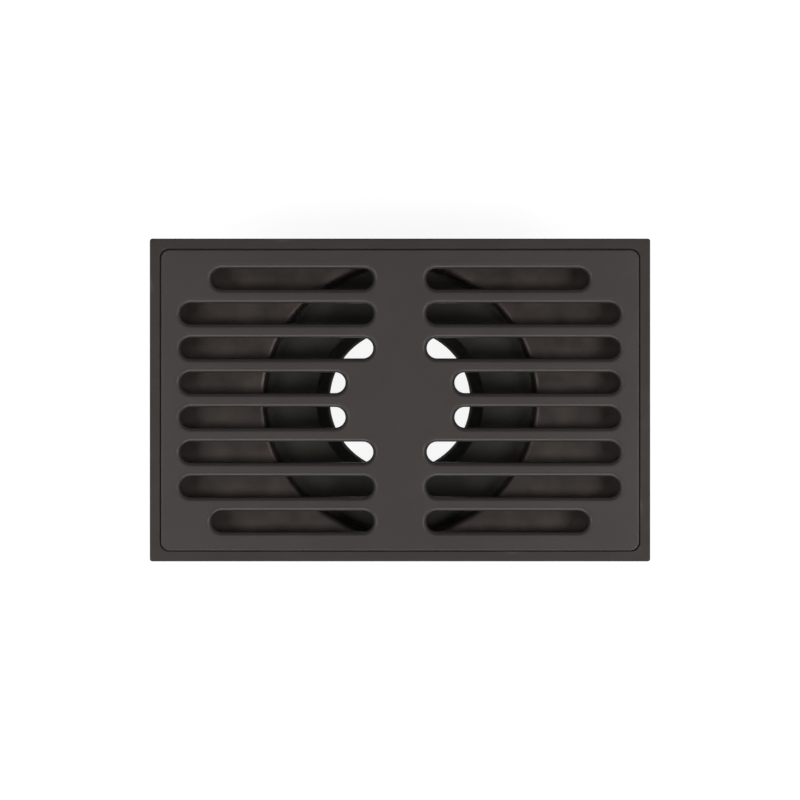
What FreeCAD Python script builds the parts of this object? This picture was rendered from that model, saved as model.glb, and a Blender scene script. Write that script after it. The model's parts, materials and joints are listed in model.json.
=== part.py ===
import FreeCAD, Part
import math
import os
import Sketcher

# Rectangular floor drain: a loose slotted grate lying flush in the level rim of a one-piece casting.
# Below the grate the casting is a shallow tray whose floor falls to a round well, and the well's shelf opens
# through a flared throat into a straight outlet spigot. Z = 0 is the end of the spigot, and +X runs along the
# long side of the rim. Lengths are in millimetres and angles in degrees.

SIZES = (
    ("frame_length", 155.0, "long side of the rim, outside"),
    ("frame_width", 100.0, "short side of the rim, outside"),
    ("frame_corner_radius", 0.8, "upright corners of the rim"),
    ("rim_width", 3.15, "outside of the rim to the wall of the grate's recess"),
    ("rim_edge_bevel", 0.3, "eased outside edges of the rim"),
    ("recess_edge_bevel", 0.15, "eased edge between the rim and the recess"),
    ("grate_gap", 0.1, "clearance all round the grate in its recess"),
    ("grate_thickness", 3.6, "plate of the grate, which lies flush with the rim"),
    ("grate_corner_radius", 2.85, "upright corners of the grate"),
    ("grate_edge_bevel", 0.35, "eased top edge of the grate"),
    ("grate_foot_bevel", 0.5, "eased bottom edge of the grate"),
    ("slot_width", 6.4, "clear width of a slot"),
    ("slot_edge_bevel", 0.6, "bevelled top edge of a slot"),
    ("end_margin", 6.25, "end of the grate to the slots"),
    ("side_margin", 5.95, "side of the grate to the first row of slots"),
    ("end_row_setback", 9.6, "how far the first and last rows stop short of the others"),
    ("centre_bar_width", 16.6, "solid bar between the two banks of slots"),
    ("centre_pad_width", 33.8, "wider solid middle between the two inner rows"),
    ("seat_thickness", 2.0, "ledge that carries the grate"),
    ("side_seat_width", 1.7, "ledge along the long sides, from the recess wall"),
    ("end_seat_width", 3.6, "ledge along the short sides, from the recess wall"),
    ("wall", 2.4, "wall of the tray and the well"),
    ("casting_draft", 1.5, "taper of the upright walls"),
    ("tray_depth", 12.0, "seat to the lowest line of the tray floor"),
    ("tray_fall", 1.0, "fall of the tray floor from the short ends to the middle"),
    ("tray_corner_radius", 5.0, "upright corners of the tray, inside"),
    ("tray_foot_bevel", 0.6, "eased edge under the tray, outside"),
    ("neck_bevel", 0.9, "eased corner between the flange and the tray, outside"),
    ("well_margin", 2.65, "mouth of the tray's long walls to the well"),
    ("well_lip_width", 2.0, "sloped lip of the well, at the short ends"),
    ("well_lip_depth", 0.3, "lowest line of the tray floor to the foot of the sloped lip"),
    ("well_depth", 11.4, "lowest line of the tray floor to the shelf, at the wall"),
    ("shelf_fall", 1.0, "fall of the shelf from the wall to the throat"),
    ("shelf_bend", 1.6, "bend between the well's wall and its shelf"),
    ("hub_bevel", 0.4, "eased corner between the tray and the well, outside"),
    ("throat_flare", 3.3, "how much wider the throat's mouth is than the bore, on the radius"),
    ("throat_lip", 0.4, "bevelled mouth of the throat"),
    ("throat_length", 12.0, "taper from the mouth to the straight bore"),
    ("outlet_diameter", 50.0, "spigot, outside"),
    ("outlet_wall", 1.8, "wall of the spigot"),
    ("outlet_length", 30.0, "straight part of the spigot"),
    ("outlet_chamfer", 0.9, "lead-in on the end of the spigot, on the radius"),
)

# Rows of slots on each side of the grate's long middle line.
ROWS_PER_SIDE = 4

# Angles of the facets that a bend round the upright axis is cast in.
BEND_ANGLES = (30, 60)

# How close two lengths are when they count as the same.
SAME = 1e-4

# How far a cutting block runs past the solid.
CLEAR = 1.0

# Plan sizes, worked out from the sheet.
DRAFT = "tan(Sizes.casting_draft * 1 deg)"
RECESS_LENGTH = "(Sizes.frame_length - 2 * Sizes.rim_width)"
RECESS_WIDTH = "(Sizes.frame_width - 2 * Sizes.rim_width)"
GRATE_LENGTH = f"({RECESS_LENGTH} - 2 * Sizes.grate_gap)"
GRATE_WIDTH = f"({RECESS_WIDTH} - 2 * Sizes.grate_gap)"
ROW_PITCH = f"(({GRATE_WIDTH} - 2 * Sizes.side_margin - Sizes.slot_width) / {2 * ROWS_PER_SIDE - 1})"
TRAY_LENGTH = f"({RECESS_LENGTH} - 2 * Sizes.end_seat_width)"
TRAY_WIDTH = f"({RECESS_WIDTH} - 2 * Sizes.side_seat_width)"
SKIRT_LENGTH = f"({TRAY_LENGTH} + 2 * Sizes.wall)"
SKIRT_WIDTH = f"({TRAY_WIDTH} + 2 * Sizes.wall)"
WELL_RADIUS = f"({TRAY_WIDTH} / 2 - Sizes.well_margin)"
LIP_RADIUS = f"({WELL_RADIUS} + Sizes.well_lip_width)"
LIP_RISE = f"(Sizes.tray_fall * (2 * {LIP_RADIUS} / {TRAY_LENGTH}) ^ 2)"
LIP_RUN = f"(Sizes.well_lip_width / (Sizes.well_lip_depth + {LIP_RISE}))"
WELL_FOOT_RADIUS = f"({WELL_RADIUS} - Sizes.well_depth * {DRAFT})"
OUTLET_RADIUS = "(Sizes.outlet_diameter / 2)"
BORE_RADIUS = f"({OUTLET_RADIUS} - Sizes.outlet_wall)"
THROAT_RADIUS = f"({BORE_RADIUS} + Sizes.throat_flare)"

# Levels above the end of the spigot.
THROAT_TOP = "(Sizes.outlet_length + Sizes.throat_length)"
SHELF = f"({THROAT_TOP} + Sizes.shelf_fall)"
TRAY_FLOOR = f"({SHELF} + Sizes.well_depth)"
TRAY_FLOOR_ENDS = f"({TRAY_FLOOR} + Sizes.tray_fall)"
WELL_MOUTH = f"({TRAY_FLOOR} + 1.1 * {LIP_RISE})"
TRAY_FOOT = f"({TRAY_FLOOR} - Sizes.wall)"
SEAT = f"({TRAY_FLOOR} + Sizes.tray_depth)"
FLANGE_FOOT = f"({SEAT} - Sizes.seat_thickness)"
RIM_TOP = f"({SEAT} + Sizes.grate_thickness)"

doc = FreeCAD.newDocument("floor_drain")
sheet = doc.addObject("Spreadsheet::Sheet", "Sizes")
for row, (alias, size, meaning) in enumerate(SIZES, start=1):
    sheet.set(f"A{row}", meaning)
    sheet.set(f"B{row}", str(size))
    sheet.setAlias(f"B{row}", alias)
doc.recompute()


def value(expression):
    """The number that an expression on the sheet comes to."""
    return float(sheet.evalExpression(expression))


def origin_plane(body, role):
    """One of a body's own origin planes."""
    return next(feature for feature in body.Origin.OriginFeatures if feature.Role == role)


def new_body(label):
    """An empty body whose label names the piece."""
    body = doc.addObject("PartDesign::Body", label)
    body.Label = label
    return body


def new_sketch(body, name, plane, level="0"):
    """A sketch on one of the body's own planes, raised to a level."""
    sketch = body.newObject("Sketcher::SketchObject", name)
    sketch.AttachmentSupport = (origin_plane(body, plane), "")
    sketch.MapMode = "FlatFace"
    sketch.setExpression("AttachmentOffset.Base.z", level)
    return sketch


def constrain(sketch, *terms):
    """One constraint in a sketch."""
    return sketch.addConstraint(Sketcher.Constraint(*terms))


def bind(sketch, name, size, *terms):
    """A dimension in a sketch that follows an expression on the sheet."""
    sketch.renameConstraint(constrain(sketch, *terms, value(size)), name)
    sketch.setExpression(f"Constraints.{name}", size)


def place(sketch, name, across, along, geometry, end):
    """Sets a point of a sketch out from its origin, on an axis where a distance is nothing."""
    for kind, axis, distance in (("DistanceX", -2, across), ("DistanceY", -1, along)):
        if distance == "0":
            constrain(sketch, "PointOnObject", geometry, end, axis)
        else:
            bind(sketch, f"{name}_{kind}", distance, kind, -1, 1, geometry, end)


def line(sketch, start, end):
    """A straight edge between two points."""
    return sketch.addGeometry(Part.LineSegment(start, end))


def arc(sketch, centre, radius, start, end):
    """An arc about a centre between two angles, given in quarter turns."""
    circle = Part.Circle(centre, FreeCAD.Vector(0, 0, 1), radius)
    return sketch.addGeometry(Part.ArcOfCircle(circle, start * math.pi / 2, end * math.pi / 2))


def join(sketch, kind, curves):
    """Closes a ring of curves, each meeting the next at a corner or running smoothly into it."""
    for here, after in zip(curves, curves[1:] + curves[:1]):
        constrain(sketch, kind, here, 2, after, 1)


def rounded_rectangle(sketch, length, width, radius):
    """A rectangle about the origin with round corners, drawn anticlockwise from its right side."""
    r = value(radius)
    x = value(length) / 2 - r
    y = value(width) / 2 - r
    corners = [FreeCAD.Vector(x, y), FreeCAD.Vector(-x, y), FreeCAD.Vector(-x, -y), FreeCAD.Vector(x, -y)]
    outward = [FreeCAD.Vector(r, 0), FreeCAD.Vector(0, r), FreeCAD.Vector(-r, 0), FreeCAD.Vector(0, -r)]
    curves = []
    for turn, (corner, out) in enumerate(zip(corners, outward)):
        curves.append(line(sketch, corners[turn - 1] + out, corner + out))
        curves.append(arc(sketch, corner, r, turn, turn + 1))
    sides = curves[0::2]
    bends = curves[1::2]
    join(sketch, "Tangent", curves)
    for side, direction in zip(sides, ("Vertical", "Horizontal") * 2):
        constrain(sketch, direction, side)
    for bend in bends[1:]:
        constrain(sketch, "Equal", bends[0], bend)
    constrain(sketch, "Symmetric", bends[0], 3, bends[2], 3, -1, 1)
    bind(sketch, "bend", radius, "Radius", bends[0])
    place(sketch, "bend", f"{length} / 2 - {radius}", f"{width} / 2 - {radius}", bends[0], 3)


def slot(sketch, name, inner_end, outer_end, middle, width):
    """A round-ended slot along X between two distances from the origin."""
    r = value(width) / 2
    inner_centre = FreeCAD.Vector(value(inner_end) + r, value(middle))
    outer_centre = FreeCAD.Vector(value(outer_end) - r, value(middle))
    rise = FreeCAD.Vector(0, r)
    lower = line(sketch, inner_centre - rise, outer_centre - rise)
    outer = arc(sketch, outer_centre, r, -1, 1)
    upper = line(sketch, outer_centre + rise, inner_centre + rise)
    inner = arc(sketch, inner_centre, r, 1, 3)
    join(sketch, "Tangent", [lower, outer, upper, inner])
    constrain(sketch, "Horizontal", lower)
    constrain(sketch, "Equal", inner, outer)
    bind(sketch, f"{name}_round", f"{width} / 2", "Radius", inner)
    place(sketch, f"{name}_inner", f"{inner_end} + {width} / 2", middle, inner, 3)
    bind(sketch, f"{name}_outer", f"{outer_end} - {width} / 2", "DistanceX", -1, 1, outer, 3)


def polygon(sketch, corners):
    """A closed outline through named corners, each set out from the origin."""
    points = [FreeCAD.Vector(value(across), value(along)) for name, across, along in corners]
    edges = [line(sketch, here, after) for here, after in zip(points, points[1:] + points[:1])]
    join(sketch, "Coincident", edges)
    for edge, (name, across, along) in zip(edges, corners):
        place(sketch, name, across, along, edge, 1)


def bend(name, radius, level, size):
    """Corners of a faceted bend that turns an upright wall inwards to a floor."""
    corners = [(f"{name}_wall", f"({radius} + {size} * {DRAFT})", f"({level} + {size})")]
    for angle in BEND_ANGLES:
        across = f"({radius} - {size} * (1 - cos({angle} deg)))"
        along = f"({level} + {size} * (1 - sin({angle} deg)))"
        corners.append((f"{name}_{angle}", across, along))
    corners.append((f"{name}_floor", f"({radius} - {size})", level))
    return corners


def dish_section(sketch, half, sag, rim, foot):
    """The ground under a shallow dish: an arc that sags between two rims, closed below by straight sides."""
    right_rim = FreeCAD.Vector(value(half), value(rim))
    left_rim = FreeCAD.Vector(-value(half), value(rim))
    lowest = FreeCAD.Vector(0, value(rim) - value(sag))
    right_foot = FreeCAD.Vector(value(half), value(foot))
    left_foot = FreeCAD.Vector(-value(half), value(foot))
    dish = sketch.addGeometry(Part.Arc(left_rim, lowest, right_rim))
    right = line(sketch, right_rim, right_foot)
    bottom = line(sketch, right_foot, left_foot)
    left = line(sketch, left_foot, left_rim)
    join(sketch, "Coincident", [dish, right, bottom, left])
    constrain(sketch, "Vertical", right)
    constrain(sketch, "Vertical", left)
    constrain(sketch, "Horizontal", bottom)
    constrain(sketch, "Symmetric", right, 1, left, 2, -2)
    place(sketch, "rim", half, rim, right, 1)
    bind(sketch, "foot", foot, "DistanceY", -1, 1, right, 2)
    bind(sketch, "dish", f"({half} ^ 2 + {sag} ^ 2) / (2 * {sag})", "Radius", dish)


def extrude(body, kind, name, sketch, length, taper="0", **choices):
    """Material raised from a sketch, or cut into the body from it."""
    feature = body.newObject(kind, name)
    feature.Profile = sketch
    feature.setExpression("Length", length)
    feature.setExpression("TaperAngle", taper)
    for choice, setting in choices.items():
        setattr(feature, choice, setting)
    return feature


def turn(body, kind, name, sketch):
    """A full turn of a sketch about the upright axis, added or cut."""
    feature = body.newObject(kind, name)
    feature.Profile = sketch
    feature.ReferenceAxis = (sketch, ["V_Axis"])
    feature.Angle = 360
    return feature


def ease(body, name, size, test):
    """Bevels those edges of the body as it stands that pass a test."""
    doc.recompute()
    base = body.Tip
    edges = [f"Edge{n}" for n, edge in enumerate(base.Shape.Edges, start=1) if test(edge)]
    if not edges:
        raise RuntimeError(f"no edge for {name}")
    feature = body.newObject("PartDesign::Chamfer", name)
    feature.Base = (base, edges)
    feature.setExpression("Size", size)


def flat_at(edge, level):
    """Whether an edge lies flat at a level."""
    box = edge.BoundBox
    return abs(box.ZMin - value(level)) < SAME and abs(box.ZMax - value(level)) < SAME


def on_outline(edge, length, width):
    """Whether an edge touches the sides of a rectangle about the origin."""
    box = edge.BoundBox
    reaches = ((box.XMin, length), (box.XMax, length), (box.YMin, width), (box.YMax, width))
    return any(abs(abs(reach) - value(side) / 2) < SAME for reach, side in reaches)


def make_grate():
    """The loose plate: two banks of slots either side of a solid middle, with every edge eased."""
    body = new_body("grate")
    plan = new_sketch(body, "grate_plan", "XY_Plane", SEAT)
    rounded_rectangle(plan, GRATE_LENGTH, GRATE_WIDTH, "Sizes.grate_corner_radius")
    extrude(body, "PartDesign::Pad", "grate_plate", plan, "Sizes.grate_thickness")

    # A quarter of the slots, one to a row: the inner row starts further out and the last row stops short.
    slots = new_sketch(body, "slot_plan", "XY_Plane", RIM_TOP)
    for row in range(ROWS_PER_SIDE):
        inner_end = "Sizes.centre_bar_width / 2"
        outer_end = f"({GRATE_LENGTH} / 2 - Sizes.end_margin)"
        if row == 0:
            inner_end = "Sizes.centre_pad_width / 2"
        if row == ROWS_PER_SIDE - 1:
            outer_end = f"({outer_end} - Sizes.end_row_setback)"
        slot(slots, f"row_{row}", inner_end, outer_end, f"{ROW_PITCH} * {row + 0.5}", "Sizes.slot_width")
    quarter = extrude(body, "PartDesign::Pocket", "slots_quarter", slots, f"Sizes.grate_thickness + {CLEAR}")

    # The other three quarters mirror it across both middle lines.
    all_slots = body.newObject("PartDesign::MultiTransform", "slots_all")
    mirrors = []
    for name, plane in (("slots_across", "YZ_Plane"), ("slots_along", "XZ_Plane")):
        mirror = body.newObject("PartDesign::Mirrored", name)
        mirror.MirrorPlane = (origin_plane(body, plane), [""])
        mirrors.append(mirror)
    all_slots.Originals = [quarter]
    all_slots.Transformations = mirrors
    body.Tip = all_slots

    def at_border(edge):
        return on_outline(edge, GRATE_LENGTH, GRATE_WIDTH)

    ease(body, "slot_edges", "Sizes.slot_edge_bevel",
         lambda edge: flat_at(edge, RIM_TOP) and not at_border(edge))
    ease(body, "grate_top_edge", "Sizes.grate_edge_bevel",
         lambda edge: flat_at(edge, RIM_TOP) and at_border(edge))
    ease(body, "grate_foot_edge", "Sizes.grate_foot_bevel",
         lambda edge: flat_at(edge, SEAT) and at_border(edge))
    return body


def make_tray_core():
    """The hollow of the tray: tapered walls, and a floor dished so that it falls to the middle."""
    body = new_body("tray_core")
    mouth = new_sketch(body, "tray_plan", "XY_Plane", SEAT)
    rounded_rectangle(mouth, TRAY_LENGTH, TRAY_WIDTH, "Sizes.tray_corner_radius")
    extrude(body, "PartDesign::Pad", "tray_block", mouth, f"Sizes.tray_depth + {CLEAR}",
            "-Sizes.casting_draft", Reversed=True)
    under = new_sketch(body, "floor_section", "XZ_Plane")
    under_foot = f"({TRAY_FLOOR} - 2 * {CLEAR})"
    dish_section(under, f"({TRAY_LENGTH} / 2)", "Sizes.tray_fall", TRAY_FLOOR_ENDS, under_foot)
    extrude(body, "PartDesign::Pocket", "tray_dish", under, TRAY_WIDTH, Midplane=True)
    return body


def make_drain_body(tray_core):
    """The casting: rim, seat, tray, well, shelf, throat and spigot in one piece."""
    body = new_body("drain_body")

    # Flange, whose top is the rim round the grate.
    frame = ("Sizes.frame_length", "Sizes.frame_width")
    flange = new_sketch(body, "flange_plan", "XY_Plane", FLANGE_FOOT)
    rounded_rectangle(flange, *frame, "Sizes.frame_corner_radius")
    extrude(body, "PartDesign::Pad", "flange", flange, f"{RIM_TOP} - {FLANGE_FOOT}")

    # Outside of the tray, tapering down from the flange.
    skirt = new_sketch(body, "skirt_plan", "XY_Plane", FLANGE_FOOT)
    rounded_rectangle(skirt, SKIRT_LENGTH, SKIRT_WIDTH, "(Sizes.tray_corner_radius + Sizes.wall)")
    extrude(body, "PartDesign::Pad", "tray_outside", skirt, f"{FLANGE_FOOT} - {TRAY_FOOT}",
            "-Sizes.casting_draft", Reversed=True)

    # Outside of the well, throat and spigot, bedded in the tray floor.
    hub_bed = f"({TRAY_FOOT} + Sizes.wall / 2)"
    hub_top_radius = f"({WELL_RADIUS} + Sizes.wall)"
    hub_foot_radius = f"({WELL_FOOT_RADIUS} + Sizes.wall)"
    hub_foot = f"({SHELF} - Sizes.wall)"
    throat_outside_radius = f"({THROAT_RADIUS} + Sizes.wall)"
    throat_outside = f"({THROAT_TOP} - Sizes.wall)"
    hub = new_sketch(body, "hub_section", "XZ_Plane")
    polygon(hub, (
        ("bed_axis", "0", hub_bed),
        ("bed", f"({hub_top_radius} + Sizes.hub_bevel)", hub_bed),
        ("tray_foot", f"({hub_top_radius} + Sizes.hub_bevel)", TRAY_FOOT),
        ("hub_top", hub_top_radius, f"({TRAY_FOOT} - Sizes.hub_bevel)"),
        *bend("hub", hub_foot_radius, hub_foot, "(Sizes.shelf_bend + Sizes.wall)"),
        ("throat_neck", f"({throat_outside_radius} + Sizes.neck_bevel)", throat_outside),
        ("throat", throat_outside_radius, f"({throat_outside} - Sizes.neck_bevel)"),
        ("spigot", OUTLET_RADIUS, "Sizes.outlet_length"),
        ("lead_in", OUTLET_RADIUS, "2 * Sizes.outlet_chamfer"),
        ("spigot_end", f"({OUTLET_RADIUS} - Sizes.outlet_chamfer)", "0"),
        ("end_axis", "0", "0"),
    ))
    turn(body, "PartDesign::Revolution", "hub_outside", hub)

    # Inside: the grate's recess, the tray under its seat, then the well, shelf, throat and bore.
    recess = new_sketch(body, "recess_plan", "XY_Plane", RIM_TOP)
    rounded_rectangle(recess, RECESS_LENGTH, RECESS_WIDTH, "(Sizes.grate_corner_radius + Sizes.grate_gap)")
    extrude(body, "PartDesign::Pocket", "grate_recess", recess, "Sizes.grate_thickness")
    tray = body.newObject("PartDesign::Boolean", "tray_inside")
    tray.Type = "Cut"
    tray.setObjects([tray_core])
    well = new_sketch(body, "well_section", "XZ_Plane")
    polygon(well, (
        ("mouth_axis", "0", WELL_MOUTH),
        ("mouth", f"({LIP_RADIUS} + 0.1 * {LIP_RISE} * {LIP_RUN})", WELL_MOUTH),
        ("lip", WELL_RADIUS, f"({TRAY_FLOOR} - Sizes.well_lip_depth)"),
        *bend("well", WELL_FOOT_RADIUS, SHELF, "Sizes.shelf_bend"),
        ("shelf_edge", f"({THROAT_RADIUS} + Sizes.throat_lip)", THROAT_TOP),
        ("throat", THROAT_RADIUS, f"({THROAT_TOP} - Sizes.throat_lip)"),
        ("bore", BORE_RADIUS, "Sizes.outlet_length"),
        ("bore_end", BORE_RADIUS, "0"),
        ("end_axis", "0", "0"),
    ))
    turn(body, "PartDesign::Groove", "well_inside", well)

    # Eased edges of the tray's foot and of the rim.
    outlines = (
        ("neck_corner", "Sizes.neck_bevel", FLANGE_FOOT, SKIRT_LENGTH, SKIRT_WIDTH),
        ("rim_foot_edge", "Sizes.rim_edge_bevel", FLANGE_FOOT, *frame),
        ("rim_top_edge", "Sizes.rim_edge_bevel", RIM_TOP, *frame),
        ("recess_edge", "Sizes.recess_edge_bevel", RIM_TOP, RECESS_LENGTH, RECESS_WIDTH),
    )
    for name, size, level, length, width in outlines:
        ease(body, name, size, lambda edge: flat_at(edge, level) and on_outline(edge, length, width))
    ease(body, "tray_foot_edge", "Sizes.tray_foot_bevel",
         lambda edge: flat_at(edge, TRAY_FOOT) and math.hypot(*edge.BoundBox.Center[:2]) > value(WELL_RADIUS))
    return body


def write(bodies):
    """Stops on anything that failed, then writes each piece to its own file."""
    doc.recompute()
    failed = [item.Name for item in doc.Objects if {"Invalid", "Error"} & set(item.State)]
    if failed:
        raise RuntimeError(f"failed: {failed}")
    for body in bodies:
        if body.Shape.isNull() or not body.Shape.isValid() or len(body.Shape.Solids) != 1:
            raise RuntimeError(f"{body.Label} is not one valid solid")
    os.makedirs("parts", exist_ok=True)
    for body in bodies:
        body.Shape.exportStep(f"parts/{body.Label}.step")
        print(body.Label, round(body.Shape.Volume, 1))


write([make_drain_body(make_tray_core()), make_grate()])
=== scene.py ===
import functools
import json
import math

import bmesh
import bpy
import mathutils
import numpy as np
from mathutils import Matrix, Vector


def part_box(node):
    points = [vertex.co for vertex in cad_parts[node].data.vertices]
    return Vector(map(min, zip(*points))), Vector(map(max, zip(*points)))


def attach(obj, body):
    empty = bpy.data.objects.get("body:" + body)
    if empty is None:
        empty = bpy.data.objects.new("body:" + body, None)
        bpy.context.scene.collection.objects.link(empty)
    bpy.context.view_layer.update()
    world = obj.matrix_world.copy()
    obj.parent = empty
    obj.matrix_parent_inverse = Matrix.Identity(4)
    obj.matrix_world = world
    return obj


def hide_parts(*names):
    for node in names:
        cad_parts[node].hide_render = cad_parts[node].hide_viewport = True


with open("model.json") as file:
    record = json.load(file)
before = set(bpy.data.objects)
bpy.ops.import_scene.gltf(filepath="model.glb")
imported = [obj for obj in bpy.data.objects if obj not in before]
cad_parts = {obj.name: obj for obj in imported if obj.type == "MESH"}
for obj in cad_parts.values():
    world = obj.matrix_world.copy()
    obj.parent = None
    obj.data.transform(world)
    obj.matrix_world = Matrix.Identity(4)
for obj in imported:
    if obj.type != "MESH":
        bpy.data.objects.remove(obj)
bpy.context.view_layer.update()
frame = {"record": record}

bl_info = {
    "name": "Floor Drain",
    "version": (1, 0, 0),
    "blender": (4, 5, 0),
    "location": "View3D > Sidebar > Floor Drain",
    "description": "Builds a cast floor drain with a loose slotted grate, and the studio it is shown in",
    "category": "Object",
}

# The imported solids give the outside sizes, and the record's mounts give the outlet. The other sizes follow
# the solids, in millimetres, with roundings in place of bevels and an even lip round the well. Z = 0 is the
# spigot's end and +X runs along the rim's long side.
MM = 0.001
BODY_LOW, BODY_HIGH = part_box("drain_body")
GRATE_LOW, GRATE_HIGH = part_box("grate")
BODY_SIZE = BODY_HIGH - BODY_LOW
GRATE_SIZE = GRATE_HIGH - GRATE_LOW
MOUNTS = {mount["name"]: mount["dims"] for mount in frame["record"]["mounts"]}

# Segments along the long sides, the short sides and each corner of every section of the casting. A round
# section has as many, with each corner spread over a wider arc.
LONG_STEPS = 50
SHORT_STEPS = 30
CORNER_STEPS = 12
ROUND_CORNER = math.radians(40)
ROUND_CORNER_SPAN = math.radians(18)

# Segments across an eased edge, across the large bends of the well, round each end of a slot, and over the
# dished tray floor.
EASE_STEPS = 5
BEND_STEPS = 12
SLOT_END_STEPS = 24
FLOOR_STEPS = 8

# Loops that keep the rim's top and the tray's underside flat between their eased edges: shares of the rim's
# width, and insets from the underside's edges.
RIM_LOOPS = (0.25, 0.5, 0.85)
FLAT_INSETS = (0.7 * MM, 1.1 * MM)

# Where a flat starts beside a rounding, as a share of the rounding: on the tray's floor and on the grate.
PAST_FOOT = 1.05
PAST_EDGE = 1.4

# Rows of slots on each side of the grate's long middle line.
ROWS_PER_SIDE = 4

# How far a piece may stand out of the solid that it replaces.
FORM_TOLERANCE = 0.05 * MM

# Most of a noise pattern lies between these values, which are spread over the whole range.
NOISE_LOW = 0.3
NOISE_HIGH = 0.7

# Lacquer over an edge: the pointiness where it starts to thin and where it is thinnest, and how much of the
# thin colour then shows.
EDGE_START = 0.52
EDGE_CREST = 0.62
EDGE_SHARE = 0.35

# Patterns of the finishes in millimetres, and how far the lacquer's roughness varies either way.
SHEEN_PATCH_MM = 5
SHEEN_CHANGE = 0.04
STAIN_MM = 7
SAND_MM = 0.6
SAND_DEPTH_MM = 0.06

# The paper floor: its radius and the height and reach of the rise at its edge, in metres, and the segments
# up that rise and round the floor.
PAPER_RADIUS = 1.6
PAPER_RISE = 0.5
PAPER_RISE_STEPS = 16
PAPER_ROUND_STEPS = 96

# Lamps that face the middle of the grate: place and size in metres, and the setting that holds the power.
LAMPS = {
    "left_soft_box": ((-0.37, -0.084, 0.74), (0.136, 0.24), "left_power"),
    "right_soft_box": ((0.37, -0.084, 0.74), (0.136, 0.24), "right_power"),
    "front_panel": ((0.0, -0.85, 0.47), (1.20, 0.40), "front_power"),
    "back_strip": ((0.0, 0.35, 1.60), (0.60, 0.20), "back_power"),
}

# Width of the camera's sensor in millimetres.
SENSOR_WIDTH = 36.0


def linear(hex_colour):
    """The linear colour, with alpha, of an sRGB hex value."""
    channels = [int(hex_colour[i:i + 2], 16) / 255 for i in (1, 3, 5)]
    return tuple(c / 12.92 if c <= 0.04045 else ((c + 0.055) / 1.055) ** 2.4 for c in channels) + (1.0,)


def length(name, description, millimetres):
    """A length that the user can change, given in millimetres and kept in metres."""
    return bpy.props.FloatProperty(name=name, description=description, default=millimetres * MM, min=0.0,
                                   unit="LENGTH", precision=5)


def colour(name, description, hex_colour):
    """A colour that the user can change."""
    return bpy.props.FloatVectorProperty(name=name, description=description, default=linear(hex_colour),
                                         size=4, min=0.0, max=1.0, subtype="COLOR")


def power(name, description, watts):
    """A lamp's power that the user can change."""
    return bpy.props.FloatProperty(name=name, description=description, default=watts, min=0.0, unit="POWER")


class DrainCastingSizes(bpy.types.PropertyGroup):
    """Sizes of the one-piece casting."""
    rim_length: length("Rim length", "Long side of the rim, outside", BODY_SIZE.x / MM)
    rim_width: length("Rim width", "Short side of the rim, outside", BODY_SIZE.y / MM)
    rim_top: length("Rim top", "Top of the rim above the end of the spigot", BODY_HIGH.z / MM)
    rim_corner: length("Rim corner", "Radius of the rim's upright corners", 0.8)
    rim_band: length("Rim band", "Outside of the rim to the recess", 3.15)
    rim_edge: length("Rim edge", "Rounding of the rim and of like edges below it", 0.4)
    recess_corner: length("Recess corner", "Radius of the recess's upright corners", 2.95)
    recess_edge: length("Recess edge", "Rounding of the recess and of the spigot's end", 0.2)
    recess_depth: length("Recess depth", "Rim top to the seat under the grate", GRATE_SIZE.z / MM)
    seat_thickness: length("Seat thickness", "Ledge that carries the grate", 2.0)
    side_seat: length("Side seat", "Ledge along the long sides", 1.7)
    end_seat: length("End seat", "Ledge along the short sides", 3.6)
    wall: length("Wall", "Wall of the tray and the well", 2.4)
    tray_depth: length("Tray depth", "Seat to the lowest line of the tray floor", 12.0)
    tray_fall: length("Tray fall", "Fall of the tray floor from its ends to the middle", 1.0)
    tray_corner: length("Tray corner", "Radius of the tray's upright corners, inside", 5.0)
    tray_round: length("Tray rounding", "Rounding round the tray's underside", 0.6)
    tray_foot: length("Tray foot", "Rounding round the tray's floor, inside", 0.4)
    neck_round: length("Neck rounding", "Rounding under the flange and round the throat", 0.9)
    well_radius: length("Well radius", "Radius of the well under its lip", 42.5)
    well_depth: length("Well depth", "Tray floor to the shelf", 11.4)
    lip_width: length("Lip width", "Sloped lip of the well", 1.8)
    lip_drop: length("Lip drop", "Fall of the sloped lip", 0.52)
    lip_round: length("Lip rounding", "Rounding of the foot of the sloped lip", 1.0)
    shelf_fall: length("Shelf fall", "Fall of the shelf from the wall to the throat", 1.0)
    shelf_bend: length("Shelf bend", "Bend between the well's wall and its shelf", 1.6)
    throat_flare: length("Throat flare", "How much wider the throat's mouth is than the bore", 3.3)
    throat_lip: length("Throat lip", "Rounding of the throat's mouth", 0.5)
    throat_length: length("Throat length", "Taper from the mouth to the straight bore", 12.0)
    spigot_radius: length("Spigot radius", "Outside of the spigot", MOUNTS["outlet_spigot"]["r_mm"])
    bore_radius: length("Bore radius", "Inside of the spigot", MOUNTS["outlet_bore"]["r_mm"])
    spigot_length: length("Spigot length", "Straight part of the spigot", MOUNTS["outlet_bore"]["length_mm"])
    lead_in: length("Lead-in", "Taper on the spigot's end, on the radius", 0.9)
    draft: bpy.props.FloatProperty(name="Draft", description="Taper of the upright walls",
                                   default=math.radians(1.5), min=0.0, max=0.2, subtype="ANGLE")


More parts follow.
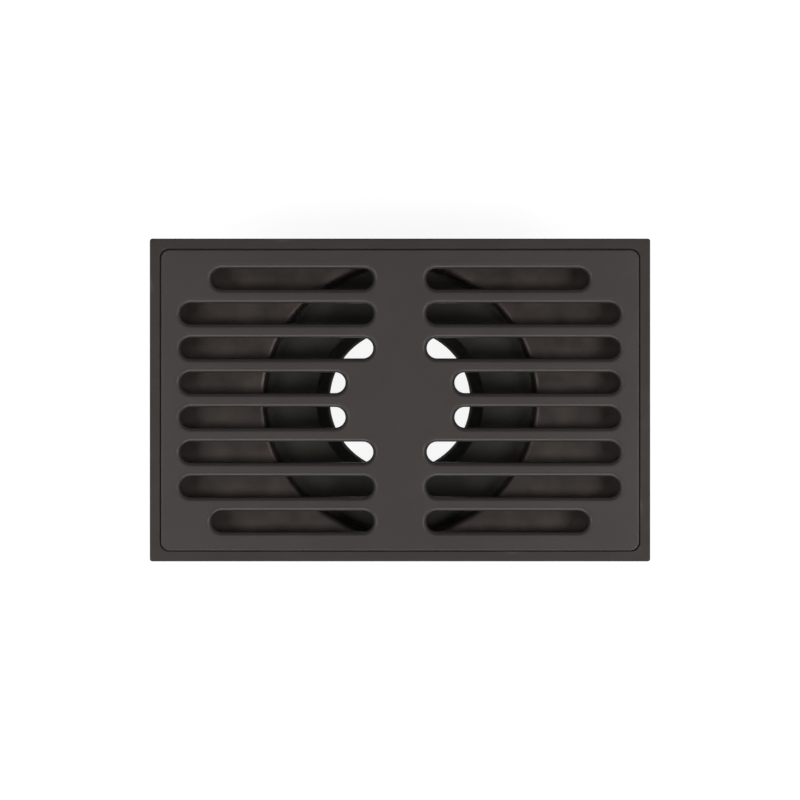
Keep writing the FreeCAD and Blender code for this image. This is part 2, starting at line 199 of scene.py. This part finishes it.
class DrainGrateSizes(bpy.types.PropertyGroup):
    """Sizes of the loose grate."""
    plate_length: length("Plate length", "Long side of the grate", GRATE_SIZE.x / MM)
    plate_width: length("Plate width", "Short side of the grate", GRATE_SIZE.y / MM)
    plate_top: length("Plate top", "Top of the grate above the end of the spigot", GRATE_HIGH.z / MM)
    thickness: length("Thickness", "Plate of the grate", GRATE_SIZE.z / MM)
    corner: length("Corner", "Radius of the grate's upright corners", 2.85)
    border_round: length("Border rounding", "Rounding of the grate's top edge", 0.6)
    foot_round: length("Foot rounding", "Rounding of the grate's bottom edges", 0.4)
    slot_width: length("Slot width", "Clear width of a slot", 6.4)
    slot_round: length("Slot rounding", "Rounding of a slot's top edge", 1.4)
    end_margin: length("End margin", "End of the grate to the slots", 6.25)
    side_margin: length("Side margin", "Side of the grate to the first row of slots", 5.95)
    end_row_setback: length("End row setback", "How far the first and last rows stop short", 9.6)
    centre_bar: length("Centre bar", "Solid bar between the two banks of slots", 16.6)
    centre_pad: length("Centre pad", "Wider solid middle between the two inner rows", 33.8)


class DrainFinish(bpy.types.PropertyGroup):
    """Colours of the lacquer and of the bare casting, several of them darkened or lightened as painted shade
    and light.
    """
    plate_even: colour("Plate", "Gun-grey lacquer on the ground grate", "#45403E")
    plate_thick: colour("Plate, pooled", "The same where it has pooled and dried darker", "#413C3A")
    # The rim's lacquer is the grate's set darker: partly the rougher casting, partly painted shade, since
    # the rim lies level and would otherwise look as bright as the grate.
    cast_shaded: colour("Rim", "The same lacquer on the rougher casting", "#3D3836")
    cast_pooled_and_shaded: colour("Rim, pooled", "The same where it has pooled", "#393431")
    # The tray's colours are the lacquer set lighter and warmer, with a far darker pooled colour: partly
    # brass under a thin mist and the spray's clouds, partly painted light and shade on the tray floor under
    # the grate.
    mist_lit: colour("Tray", "Spray mist in the tray, with warm brass behind it", "#4B423D")
    mist_pooled_and_shaded: colour("Tray, pooled", "The same where it has pooled", "#342E2A")
    thin: colour("Edges", "Lacquer drawn thin over an edge", "#5A5451")
    # The bare skin's colours are dark partly as painted shade for the deep well and the outlet; the stained
    # one also holds real stains.
    skin: colour("Cast skin", "Bare casting in the well and the outlet", "#4C4B46")
    stained_and_shaded_skin: colour("Stained skin", "Bare casting where it is stained", "#3E3D38")


class DrainStage(bpy.types.PropertyGroup):
    """Floor, light and camera."""
    floor: colour("Floor", "Pale paper under the drain, as it lights the drain", "#E8E7E5")
    floor_seen: colour("Floor, seen", "Grey of the paper in view, which its glow turns white", "#808080")
    floor_glow: bpy.props.FloatProperty(name="Floor glow", description="Glow of the paper in view",
                                        default=0.90, min=0.0, max=1.0, subtype="FACTOR")
    room: colour("Room", "Grey of the room round the floor", "#686868")
    left_power: power("Left power", "Power of the soft box over the left end", 1.45)
    right_power: power("Right power", "Power of the soft box over the right end", 1.70)
    front_power: power("Front power", "Power of the low panel along the near side", 6.0)
    back_power: power("Back power", "Power of the strip high over the far side", 0.7)
    camera_height: length("Camera height", "Lens above the grate", 1000.0)
    field_width: length("Field width", "Width of the picture at the grate's top", 247.7)


def section_plan():
    """The points round a section: each one's corner, its turn within that corner, its share of the way to
    the next corner, and its angle on a round section."""
    corners = []
    turns = []
    shares = []
    angles = []
    middles = (ROUND_CORNER, math.pi - ROUND_CORNER, math.pi + ROUND_CORNER, math.tau - ROUND_CORNER)
    for corner, middle in enumerate(middles):
        first = middle - ROUND_CORNER_SPAN / 2
        last = middle + ROUND_CORNER_SPAN / 2
        for step in range(CORNER_STEPS + 1):
            corners.append(corner)
            turns.append((corner + step / CORNER_STEPS) * math.pi / 2)
            shares.append(0.0)
            angles.append(first + (last - first) * step / CORNER_STEPS)
        full_turn = math.tau if corner == 3 else 0.0
        following = middles[(corner + 1) % 4] - ROUND_CORNER_SPAN / 2 + full_turn
        side_steps = (LONG_STEPS, SHORT_STEPS)[corner % 2]
        for step in range(1, side_steps):
            corners.append(corner)
            turns.append((corner + 1) * math.pi / 2)
            shares.append(step / side_steps)
            angles.append(last + (following - last) * step / side_steps)
    return np.array(corners), np.array(turns), np.array(shares)[:, None], np.array(angles)


PLAN_CORNER, PLAN_TURN, PLAN_SHARE, PLAN_ANGLE = section_plan()


def block_section(along, across, corner, level):
    """A rounded rectangle about the upright axis, as points."""
    signs = np.array(((1, 1), (-1, 1), (-1, -1), (1, -1)))
    centres = signs * (along / 2 - corner, across / 2 - corner)
    arc = corner * np.stack((np.cos(PLAN_TURN), np.sin(PLAN_TURN)), axis=1)
    here = centres[PLAN_CORNER] + arc
    there = centres[(PLAN_CORNER + 1) % 4] + arc
    flat = here + (there - here) * PLAN_SHARE
    return np.column_stack((flat, np.full(len(flat), level)))


def round_section(radius, level):
    """A circle about the upright axis, as points that pair with those of a rounded rectangle."""
    return np.column_stack((radius * np.cos(PLAN_ANGLE), radius * np.sin(PLAN_ANGLE),
                            np.full(len(PLAN_ANGLE), level)))


def eased(sections, closed):
    """Sections with their corners rounded, as a list of sections for each corner.

    Each section comes with the reach of its rounding and the rounding's segments. The arc is a true one
    where both neighbours lie square to the edge.
    """
    corners = []
    last = len(sections) - 1
    for index, (section, reach, steps) in enumerate(sections):
        if reach == 0.0 or (not closed and index in (0, last)):
            corners.append([section])
            continue
        before = sections[index - 1][0] - section
        after = sections[(index + 1) % len(sections)][0] - section
        before = before / np.linalg.norm(before, axis=1, keepdims=True)
        after = after / np.linalg.norm(after, axis=1, keepdims=True)
        weight = np.sqrt((1 - np.sum(before * after, axis=1, keepdims=True)) / 2)
        corner = []
        for step in range(steps + 1):
            way = step / steps
            shares = ((1 - way) ** 2, 2 * way * (1 - way) * weight, way ** 2)
            ends = shares[0] * (section + before * reach) + shares[2] * (section + after * reach)
            corner.append((ends + shares[1] * section) / sum(shares))
        corners.append(corner)
    return corners


def add_skin(mesh, corners, closed, finishes):
    """Adds a skin of quads over rounded corners to a mesh, and gives back the vertices of each section.

    Each corner's finish, a material's place in the piece's list, runs up to the next corner.
    """
    rings = [[mesh.verts.new(point) for point in section] for corner in corners for section in corner]
    marks = [finish for corner, finish in zip(corners, finishes) for section in corner]
    pairs = list(zip(rings, rings[1:], marks))
    if closed:
        pairs.append((rings[-1], rings[0], marks[-1]))
    for lower, upper, finish in pairs:
        for i in range(len(lower)):
            face = mesh.faces.new((lower[i - 1], lower[i], upper[i], upper[i - 1]))
            face.material_index = finish
    return rings


def add_piece(name, mesh, node, *materials):
    """Makes a closed mesh into the piece that stands for a solid, with even shading, on the root body."""
    bmesh.ops.recalc_face_normals(mesh, faces=mesh.faces)
    if any(not edge.is_manifold for edge in mesh.edges):
        raise RuntimeError(f"{name} isn't closed")
    data = bpy.data.meshes.new(name)
    mesh.to_mesh(data)
    mesh.free()
    data.shade_smooth()
    for material in materials:
        data.materials.append(material)
    piece = bpy.data.objects.new(name, data)
    bpy.context.collection.objects.link(piece)
    shading = piece.modifiers.new("flats_stay_flat", "WEIGHTED_NORMAL")
    shading.weight = 100
    shading.keep_sharp = True
    low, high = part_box(node)
    corners = np.array([vertex.co for vertex in data.vertices])
    too_low = np.any(corners.min(0) < np.array(low) - FORM_TOLERANCE)
    too_high = np.any(corners.max(0) > np.array(high) + FORM_TOLERANCE)
    if too_low or too_high:
        raise RuntimeError(f"{name} stands out of {node}")
    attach(piece, "root")
    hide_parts(node)


class CastingForm:
    """Sections of the casting, worked out from its settings.

    Each section comes with the reach of its rounding and the rounding's segments.
    """

    def __init__(self, sizes):
        self.sizes = sizes
        taper = math.tan(sizes.draft)

        # Levels above the spigot's end.
        self.throat_top = sizes.spigot_length + sizes.throat_length
        self.shelf = self.throat_top + sizes.shelf_fall
        self.floor = self.shelf + sizes.well_depth
        self.foot = self.floor - sizes.wall
        self.seat = sizes.rim_top - sizes.recess_depth
        self.flange_foot = self.seat - sizes.seat_thickness

        # Sizes along and across: the rim, the recess, the tray's mouth and floor, and the tray's outside.
        # The tray narrows by its tapers on every side.
        self.rim = np.array((sizes.rim_length, sizes.rim_width))
        self.recess = self.rim - 2 * sizes.rim_band
        self.mouth = self.recess - 2 * np.array((sizes.end_seat, sizes.side_seat))
        self.tray_taper = sizes.tray_depth * taper
        self.ground = self.mouth - 2 * self.tray_taper
        self.skirt = self.mouth + 2 * sizes.wall
        self.skirt_taper = (self.flange_foot - self.foot) * taper

        # Radii of the well at its shelf and of the throat's mouth.
        self.well_foot = sizes.well_radius - sizes.well_depth * taper
        self.throat = sizes.bore_radius + sizes.throat_flare

    def on_floor(self, section):
        """A section dropped on to the dished tray floor."""
        dropped = section.copy()
        dropped[:, 2] = self.floor + self.sizes.tray_fall * (2 * section[:, 0] / self.ground[0]) ** 2
        return dropped

    def tray_outline(self, inset):
        """The outline of the tray's floor, smaller all round by some inset."""
        corner = self.sizes.tray_corner - self.tray_taper - inset
        return self.on_floor(block_section(*(self.ground - 2 * inset), corner, self.floor))

    def underside(self, inset):
        """The outline of the tray's underside, smaller all round by some inset."""
        smaller = self.skirt_taper + inset
        corner = self.sizes.tray_corner + self.sizes.wall - smaller
        return block_section(*(self.skirt - 2 * smaller), corner, self.foot)

    def outside(self):
        """Up the outside from the spigot's end, over the rim and down to the seat.

        The spigot's taper is twice as long as it is deep, and its neck has twice the other necks' rounding.
        """
        sizes = self.sizes
        wall = sizes.wall
        spigot = sizes.spigot_radius
        well_outside = sizes.well_radius + wall
        skirt_top = block_section(*self.skirt, sizes.tray_corner + wall, self.flange_foot)
        outer = block_section(*self.rim, sizes.rim_corner, sizes.rim_top)
        inner = block_section(*self.recess, sizes.recess_corner, sizes.rim_top)
        return [
            (round_section(spigot - sizes.lead_in, 0.0), sizes.recess_edge, EASE_STEPS),
            (round_section(spigot, 2 * sizes.lead_in), sizes.rim_edge, EASE_STEPS),
            (round_section(spigot, sizes.spigot_length), 2 * sizes.neck_round, EASE_STEPS),
            (round_section(self.throat + wall, self.throat_top - wall), sizes.neck_round, EASE_STEPS),
            (round_section(self.well_foot + wall, self.shelf - wall), sizes.shelf_bend + wall, BEND_STEPS),
            (round_section(well_outside, self.foot), sizes.rim_edge, EASE_STEPS),
            *((round_section(well_outside + inset, self.foot), 0.0, 0) for inset in FLAT_INSETS),
            *((self.underside(inset), 0.0, 0) for inset in reversed(FLAT_INSETS)),
            (self.underside(0.0), sizes.tray_round, EASE_STEPS),
            (skirt_top, sizes.neck_round, EASE_STEPS),
            (block_section(*self.rim, sizes.rim_corner, self.flange_foot), sizes.rim_edge, EASE_STEPS),
            (outer, sizes.rim_edge, EASE_STEPS),
            *((outer + (inner - outer) * share, 0.0, 0) for share in RIM_LOOPS),
            (inner, sizes.recess_edge, EASE_STEPS),
            (block_section(*self.recess, sizes.recess_corner, self.seat), sizes.recess_edge, EASE_STEPS),
        ]

    def tray(self):
        """From the seat down the tray's wall, over its dished floor and down the sloped lip of the well."""
        sizes = self.sizes
        start = self.tray_outline(PAST_FOOT * sizes.tray_foot)
        lip = self.on_floor(round_section(sizes.well_radius + sizes.lip_width, self.floor))
        lip_foot = round_section(sizes.well_radius, self.floor)
        lip_foot[:, 2] = lip[:, 2] - sizes.lip_drop
        shares = np.linspace(0, 1, FLOOR_STEPS + 1)
        return [
            (block_section(*self.mouth, sizes.tray_corner, self.seat), sizes.rim_edge, EASE_STEPS),
            (self.tray_outline(0.0), sizes.tray_foot, EASE_STEPS),
            *((self.on_floor(start + (lip - start) * share), 0.0, 0) for share in shares),
            (lip_foot, sizes.lip_round, BEND_STEPS),
        ]

    def well(self):
        """From the foot of the well's wall, over its shelf and down the throat to the spigot's end."""
        sizes = self.sizes
        return [
            (round_section(self.well_foot, self.shelf), sizes.shelf_bend, BEND_STEPS),
            (round_section(self.throat, self.throat_top), sizes.throat_lip, EASE_STEPS),
            (round_section(sizes.bore_radius, sizes.spigot_length), 2 * sizes.neck_round, EASE_STEPS),
            (round_section(sizes.bore_radius, 0.0), sizes.recess_edge, EASE_STEPS),
        ]


def plate_section(sizes, growth, level):
    """The grate's outline, wider all round by some growth, as points."""
    return block_section(sizes.plate_length + 2 * growth, sizes.plate_width + 2 * growth,
                         sizes.corner + growth, level)


def slot_section(sizes, side, row, growth, level):
    """A slot of the grate in one bank and row, wider all round by some growth, as points."""
    pitch = (sizes.plate_width - 2 * sizes.side_margin - sizes.slot_width) / (2 * ROWS_PER_SIDE - 1)
    inner = (sizes.centre_pad if abs(row) < 1 else sizes.centre_bar) / 2
    outer = sizes.plate_length / 2 - sizes.end_margin
    if abs(row) > ROWS_PER_SIDE - 1:
        outer -= sizes.end_row_setback
    radius = sizes.slot_width / 2

    # Half a turn round the outer end, then half a turn round the inner end.
    half_turns = np.concatenate((np.linspace(-0.5, 0.5, SLOT_END_STEPS + 1),
                                 np.linspace(0.5, 1.5, SLOT_END_STEPS + 1)))
    centres = np.repeat((outer - radius, inner + radius), SLOT_END_STEPS + 1)
    along = side * (centres + (radius + growth) * np.cos(half_turns * math.pi))
    across = pitch * row + (radius + growth) * np.sin(half_turns * math.pi)
    return np.column_stack((along, across, np.full(len(half_turns), level)))


def add_grate_wall(mesh, sizes, outline, direction, rounding):
    """Adds the wall round an outline of the grate, with a strip of the top face and one of the bottom face.

    The strips lie outside the outline where direction is 1 and inside it where it is -1. Gives back the
    edges from which the top and bottom faces go on.
    """
    strip = direction * PAST_EDGE * rounding
    top = sizes.plate_top
    bottom = top - sizes.thickness
    wall = [
        (outline(strip, top), 0.0, 0),
        (outline(0.0, top), rounding, EASE_STEPS),
        (outline(0.0, bottom), sizes.foot_round, EASE_STEPS),
        (outline(strip, bottom), 0.0, 0),
    ]
    rings = add_skin(mesh, eased(wall, closed=False), closed=False, finishes=[0] * len(wall))
    ends = (rings[0], rings[-1])
    return [[mesh.edges.get((ring[i - 1], ring[i])) for i in range(len(ring))] for ring in ends]


def add_node(tree, kind, inputs=None, **settings):
    """A node with its settings, and its inputs set or linked."""
    node = tree.nodes.new(kind)
    for name, setting in settings.items():
        setattr(node, name, setting)
    for name, source in (inputs or {}).items():
        if isinstance(source, bpy.types.NodeSocket):
            tree.links.new(source, node.inputs[name])
        else:
            node.inputs[name].default_value = source
    return node


def new_material(name):
    """An empty material and its output node."""
    material = bpy.data.materials.new(name)
    material.use_nodes = True
    material.node_tree.nodes.clear()
    return material, add_node(material.node_tree, "ShaderNodeOutputMaterial")


def lacquered_brass(name, thick, even, thin, roughness, cloud_mm, grain_mm, grain_depth_mm):
    """Brass sprayed with a satin gun-grey metallic lacquer and baked.

    The flake in the lacquer gives it a soft metal sheen that darkens as a face turns from the light. It
    dries in faint clouds, with a slight ripple, and pulls thin and paler over edges.
    """
    material, output = new_material(name)
    tree = material.node_tree
    place = add_node(tree, "ShaderNodeTexCoord").outputs["Object"]

    # Clouds, where the spray overlapped or ran.
    clouds = add_node(tree, "ShaderNodeTexNoise", {
        "Vector": place, "Scale": 1 / (cloud_mm * MM), "Detail": 3.0})
    spread = add_node(tree, "ShaderNodeMapRange", {
        "Value": clouds.outputs["Fac"], "From Min": NOISE_LOW, "From Max": NOISE_HIGH})
    tone = add_node(tree, "ShaderNodeMix", {
        "Factor": spread.outputs["Result"], "A": thick, "B": even}, data_type="RGBA")

    # Edges, where the mesh bends outwards within a millimetre or so.
    thinned = add_node(tree, "ShaderNodeMapRange", {
        "Value": add_node(tree, "ShaderNodeNewGeometry").outputs["Pointiness"],
        "From Min": EDGE_START, "From Max": EDGE_CREST, "To Min": 0.0, "To Max": EDGE_SHARE})
    edged = add_node(tree, "ShaderNodeMix", {
        "Factor": thinned.outputs["Result"], "A": tone.outputs["Result"], "B": thin}, data_type="RGBA")

    # Sheen that varies in patches.
    patches = add_node(tree, "ShaderNodeTexNoise", {
        "Vector": place, "Scale": 1 / (SHEEN_PATCH_MM * MM), "Detail": 2.0})
    gloss = add_node(tree, "ShaderNodeMapRange", {
        "Value": patches.outputs["Fac"], "From Min": NOISE_LOW, "From Max": NOISE_HIGH,
        "To Min": roughness - SHEEN_CHANGE, "To Max": roughness + SHEEN_CHANGE})

    # Blasting grit is about 0.1 mm, too fine to show, so the grain is drawn several times coarser.
    grain = add_node(tree, "ShaderNodeTexNoise", {
        "Vector": place, "Scale": 1 / (grain_mm * MM), "Detail": 2.0})
    relief = add_node(tree, "ShaderNodeBump", {
        "Height": grain.outputs["Fac"], "Strength": 0.6, "Distance": grain_depth_mm * MM})
    shader = add_node(tree, "ShaderNodeBsdfPrincipled", {
        "Base Color": edged.outputs["Result"], "Metallic": 0.6, "Roughness": gloss.outputs["Result"],
        "Normal": relief.outputs["Normal"]})
    tree.links.new(shader.outputs["BSDF"], output.inputs["Surface"])
    return material


def shaded_cast_skin(name, finish):
    """Brass as the sand mould left it, with the little lacquer that drifted into the well.

    It is dull, nearly black and rough: partly the bare casting, partly painted shade that darkens the well
    and the outlet.
    """
    material, output = new_material(name)
    tree = material.node_tree
    place = add_node(tree, "ShaderNodeTexCoord").outputs["Object"]

    # Stains in the bare skin, between two colours that are both dark with painted shade.
    stains = add_node(tree, "ShaderNodeTexNoise", {
        "Vector": place, "Scale": 1 / (STAIN_MM * MM), "Detail": 4.0})
    tone = add_node(tree, "ShaderNodeMix", {
        "Factor": stains.outputs["Fac"], "A": finish.stained_and_shaded_skin, "B": finish.skin}, data_type="RGBA")

    # Moulding sand is about 0.2 mm, drawn here at three times that so that it shows.
    sand = add_node(tree, "ShaderNodeTexNoise", {
        "Vector": place, "Scale": 1 / (SAND_MM * MM), "Detail": 3.0})
    relief = add_node(tree, "ShaderNodeBump", {
        "Height": sand.outputs["Fac"], "Strength": 0.7, "Distance": SAND_DEPTH_MM * MM})
    shader = add_node(tree, "ShaderNodeBsdfPrincipled", {
        "Base Color": tone.outputs["Result"], "Roughness": 0.85, "Specular IOR Level": 0.03,
        "Normal": relief.outputs["Normal"]})
    tree.links.new(shader.outputs["BSDF"], output.inputs["Surface"])
    return material


def white_paper(name, stage):
    """White paper, lit evenly from behind so that it shows white with the drain's shadow on it.

    Seen from below it isn't there, so that the drain's underside can be looked at.
    """
    material, output = new_material(name)
    tree = material.node_tree
    path = add_node(tree, "ShaderNodeLightPath")
    mirrored = add_node(tree, "ShaderNodeMath", {
        0: path.outputs["Is Camera Ray"], 1: path.outputs["Is Glossy Ray"]}, operation="MAXIMUM")
    seen = add_node(tree, "ShaderNodeMath", {
        0: mirrored.outputs["Value"], 1: path.outputs["Is Transmission Ray"]}, operation="MAXIMUM")
    glow = add_node(tree, "ShaderNodeMath", {
        0: seen.outputs["Value"], 1: stage.floor_glow}, operation="MULTIPLY")
    shade = add_node(tree, "ShaderNodeMix", {
        "Factor": seen.outputs["Value"], "A": stage.floor, "B": stage.floor_seen}, data_type="RGBA")
    paper = add_node(tree, "ShaderNodeAddShader", {
        0: add_node(tree, "ShaderNodeBsdfDiffuse", {"Color": shade.outputs["Result"]}).outputs["BSDF"],
        1: add_node(tree, "ShaderNodeEmission", {"Strength": glow.outputs["Value"]}).outputs["Emission"]})
    sheet = add_node(tree, "ShaderNodeMixShader", {
        0: add_node(tree, "ShaderNodeNewGeometry").outputs["Backfacing"],
        1: paper.outputs["Shader"],
        2: add_node(tree, "ShaderNodeBsdfTransparent").outputs["BSDF"]})
    tree.links.new(sheet.outputs["Shader"], output.inputs["Surface"])
    return material


def add_paper_floor(scene):
    """The floor, a sheet of paper on a round bench that rises all round into a low wall."""
    mesh = bmesh.new()
    turns = np.linspace(0, math.tau, PAPER_ROUND_STEPS, endpoint=False)
    rings = []
    for step in range(PAPER_RISE_STEPS + 1):
        angle = step / PAPER_RISE_STEPS * math.pi / 2
        across = PAPER_RADIUS - PAPER_RISE + PAPER_RISE * math.sin(angle)
        up = PAPER_RISE - PAPER_RISE * math.cos(angle)
        points = [(across * math.cos(turn), across * math.sin(turn), up) for turn in turns]
        rings.append([mesh.verts.new(point) for point in points])
    mesh.faces.new(rings[0])
    for lower, upper in zip(rings, rings[1:]):
        for i in range(len(lower)):
            mesh.faces.new((upper[i - 1], upper[i], lower[i], lower[i - 1]))
    data = bpy.data.meshes.new("paper_floor")
    mesh.to_mesh(data)
    mesh.free()
    data.shade_smooth()
    data.materials.append(white_paper("white_paper", scene.drain_stage))
    floor = bpy.data.objects.new("paper_floor", data)
    scene.collection.objects.link(floor)


def add_room(scene):
    """Grey light from all round."""
    world = bpy.data.worlds.new("grey_room")
    world.use_nodes = True
    tree = world.node_tree
    tree.nodes.clear()
    glow = add_node(tree, "ShaderNodeBackground", {"Color": scene.drain_stage.room, "Strength": 1.0})
    add_node(tree, "ShaderNodeOutputWorld", {"Surface": glow.outputs["Background"]})
    scene.world = world


def add_lamps(scene):
    """Two soft boxes high over the short ends, a low panel near the front and a weak strip at the back."""
    target = mathutils.Vector((0.0, 0.0, scene.drain_grate.plate_top))
    for name, (place, size, setting) in LAMPS.items():
        light = bpy.data.lights.new(name, "AREA")
        light.shape = "RECTANGLE"
        light.size, light.size_y = size
        light.energy = getattr(scene.drain_stage, setting)
        lamp = bpy.data.objects.new(name, light)
        lamp.location = place
        lamp.rotation_euler = (target - lamp.location).to_track_quat("-Z", "Y").to_euler()
        scene.collection.objects.link(lamp)


def add_camera(scene):
    """A camera that looks straight down on the middle of the grate."""
    stage = scene.drain_stage
    camera = bpy.data.cameras.new("overhead_camera")
    camera.sensor_width = SENSOR_WIDTH
    camera.lens = SENSOR_WIDTH * stage.camera_height / stage.field_width
    view = bpy.data.objects.new("overhead_camera", camera)
    view.location = (0.0, 0.0, scene.drain_grate.plate_top + stage.camera_height)
    scene.collection.objects.link(view)
    scene.camera = view


class FLOORDRAIN_OT_casting(bpy.types.Operator):
    """Builds the casting: rim, recess, tray, well, throat and spigot as one closed skin"""
    bl_idname = "floor_drain.casting"
    bl_label = "Build casting"

    def execute(self, context):
        form = CastingForm(context.scene.drain_casting)
        outside = form.outside()
        tray = form.tray()
        well = form.well()
        # The outside takes the rim's lacquer, the tray the mist and the well the bare skin, each partly
        # coloured with painted light or shade.
        finishes = [0] * len(outside) + [1] * len(tray) + [2] * len(well)
        mesh = bmesh.new()
        add_skin(mesh, eased(outside + tray + well, closed=True), closed=True, finishes=finishes)
        finish = context.scene.drain_finish
        # The casting's outside and rim take the darker lacquer, and its darkness is partly painted shade.
        coat = lacquered_brass(
            "lacquer_on_cast_brass", finish.cast_pooled_and_shaded, finish.cast_shaded, finish.thin,
            roughness=0.52, cloud_mm=14, grain_mm=1.1, grain_depth_mm=0.03)
        # The tray takes the mist, and its colours are partly painted light and shade for the floor under the
        # grate.
        mist = lacquered_brass(
            "lacquer_mist_on_cast_brass", finish.mist_pooled_and_shaded, finish.mist_lit, finish.thin,
            roughness=0.42, cloud_mm=9, grain_mm=1.1, grain_depth_mm=0.03)
        add_piece("drain_casting", mesh, "drain_body", coat, mist, shaded_cast_skin("sand_cast_skin", finish))
        return {"FINISHED"}


class FLOORDRAIN_OT_grate(bpy.types.Operator):
    """Builds the loose grate: a plate with two banks of round-ended slots and every edge rounded"""
    bl_idname = "floor_drain.grate"
    bl_label = "Build grate"

    def execute(self, context):
        sizes = context.scene.drain_grate
        mesh = bmesh.new()
        plate = functools.partial(plate_section, sizes)
        top, bottom = add_grate_wall(mesh, sizes, plate, -1, sizes.border_round)
        for side in (1, -1):
            for place in range(-ROWS_PER_SIDE, ROWS_PER_SIDE):
                slot = functools.partial(slot_section, sizes, side, place + 0.5)
                slot_top, slot_bottom = add_grate_wall(mesh, sizes, slot, 1, sizes.slot_round)
                top += slot_top
                bottom += slot_bottom
        for edges in (top, bottom):
            bmesh.ops.triangle_fill(mesh, edges=edges, use_beauty=True)
        finish = context.scene.drain_finish
        coat = lacquered_brass(
            "lacquer_on_ground_brass", finish.plate_thick, finish.plate_even, finish.thin,
            roughness=0.46, cloud_mm=22, grain_mm=0.8, grain_depth_mm=0.012)
        add_piece("drain_grate", mesh, "grate", coat)
        return {"FINISHED"}


class FLOORDRAIN_OT_stage(bpy.types.Operator):
    """Builds the pale floor, the soft light from above and the camera that looks straight down"""
    bl_idname = "floor_drain.stage"
    bl_label = "Build stage"

    def execute(self, context):
        add_paper_floor(context.scene)
        add_room(context.scene)
        add_lamps(context.scene)
        add_camera(context.scene)
        context.scene.view_settings.view_transform = "Standard"
        return {"FINISHED"}


class FLOORDRAIN_PT_panel(bpy.types.Panel):
    """Lists the steps that build the drain"""
    bl_idname = "FLOORDRAIN_PT_panel"
    bl_label = "Floor Drain"
    bl_space_type = "VIEW_3D"
    bl_region_type = "UI"
    bl_category = "Floor Drain"

    def draw(self, context):
        for operator in OPERATORS:
            self.layout.operator(operator.bl_idname)


GROUPS = {
    "drain_casting": DrainCastingSizes,
    "drain_grate": DrainGrateSizes,
    "drain_finish": DrainFinish,
    "drain_stage": DrainStage,
}
OPERATORS = (FLOORDRAIN_OT_casting, FLOORDRAIN_OT_grate, FLOORDRAIN_OT_stage)
CLASSES = (*GROUPS.values(), *OPERATORS, FLOORDRAIN_PT_panel)


def register():
    """Adds the add-on's classes and its settings on the scene."""
    for cls in CLASSES:
        bpy.utils.register_class(cls)
    for name, group in GROUPS.items():
        setattr(bpy.types.Scene, name, bpy.props.PointerProperty(type=group))


def unregister():
    """Takes the add-on's settings and classes away again."""
    for name in GROUPS:
        delattr(bpy.types.Scene, name)
    for cls in reversed(CLASSES):
        bpy.utils.unregister_class(cls)


def main():
    """Builds the drain and its stage."""
    register()
    bpy.ops.floor_drain.casting()
    bpy.ops.floor_drain.grate()
    bpy.ops.floor_drain.stage()


if __name__ == "__main__":
    main()
